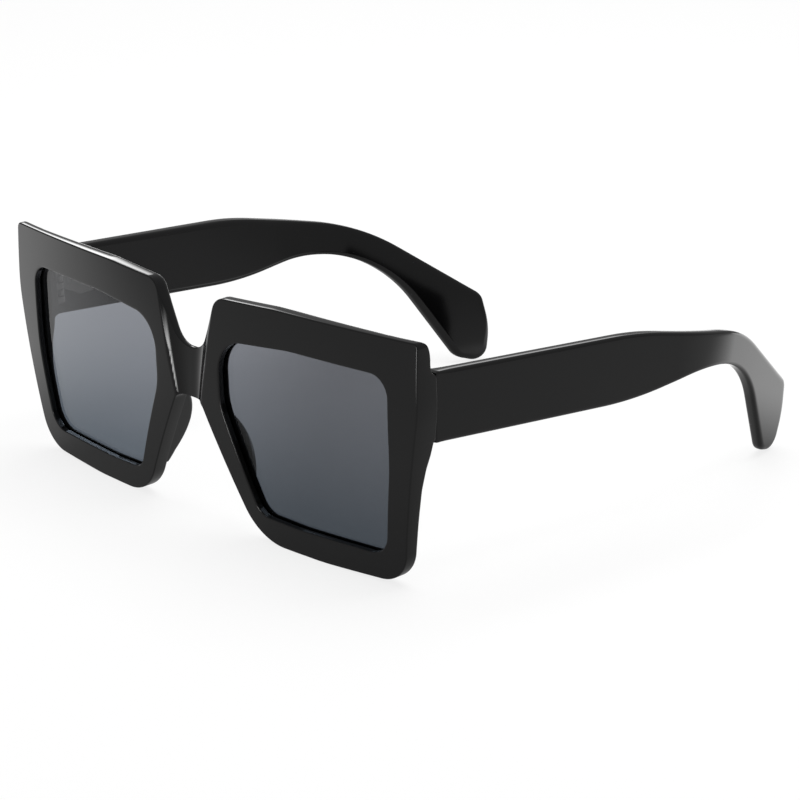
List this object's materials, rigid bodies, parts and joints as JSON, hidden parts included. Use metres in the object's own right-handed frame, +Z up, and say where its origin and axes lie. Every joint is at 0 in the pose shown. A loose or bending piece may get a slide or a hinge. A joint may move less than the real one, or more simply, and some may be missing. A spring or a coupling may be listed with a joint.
{
  "type": "square sunglasses",
  "caption": "Square oversized sunglasses with dark lenses and broad folding temples on barrel hinges.",
  "frame": {"origin": "middle of the footprint, on the surface that both rims and both temple tips stand on", "axes": "+X to the wearer's left, +Y from the front towards the ears, +Z up"},
  "size_m": [0.1504, 0.1438, 0.0571],
  "materials": {
    "plastic": "polished black acetate",
    "lens": "grey smoke tint",
    "steel": "satin"
  },
  "bodies": {
    "front": {"frame_front": "plastic", "lens_left": "lens", "nose_pad_left": "plastic", "hinge_front_leaf_left": "steel", "hinge_screw_left": "steel", "front_leaf_screw_upper_left": "steel", "front_leaf_screw_lower_left": "steel", "lens_right": "lens", "nose_pad_right": "plastic", "hinge_front_leaf_right": "steel", "hinge_screw_right": "steel", "front_leaf_screw_upper_right": "steel", "front_leaf_screw_lower_right": "steel"},
    "left_temple": {"temple_left": "plastic", "temple_core_left": "steel", "hinge_temple_leaf_left": "steel", "temple_leaf_screw_front_left": "steel", "temple_leaf_screw_rear_left": "steel"},
    "right_temple": {"temple_right": "plastic", "temple_core_right": "steel", "hinge_temple_leaf_right": "steel", "temple_leaf_screw_front_right": "steel", "temple_leaf_screw_rear_right": "steel"}
  },
  "joints": [
    {"name": "left_fold", "type": "hinge", "parent": "front", "child": "left_temple", "pos_m": [0.06665, -0.05887, 0.04112], "axis": [0, -0.0675, 0.9977], "range_deg": [0, 84]},
    {"name": "right_fold", "type": "hinge", "parent": "front", "child": "right_temple", "pos_m": [-0.06665, -0.05887, 0.04112], "axis": [0, 0.0675, -0.9977], "range_deg": [0, 70]}
  ]
}
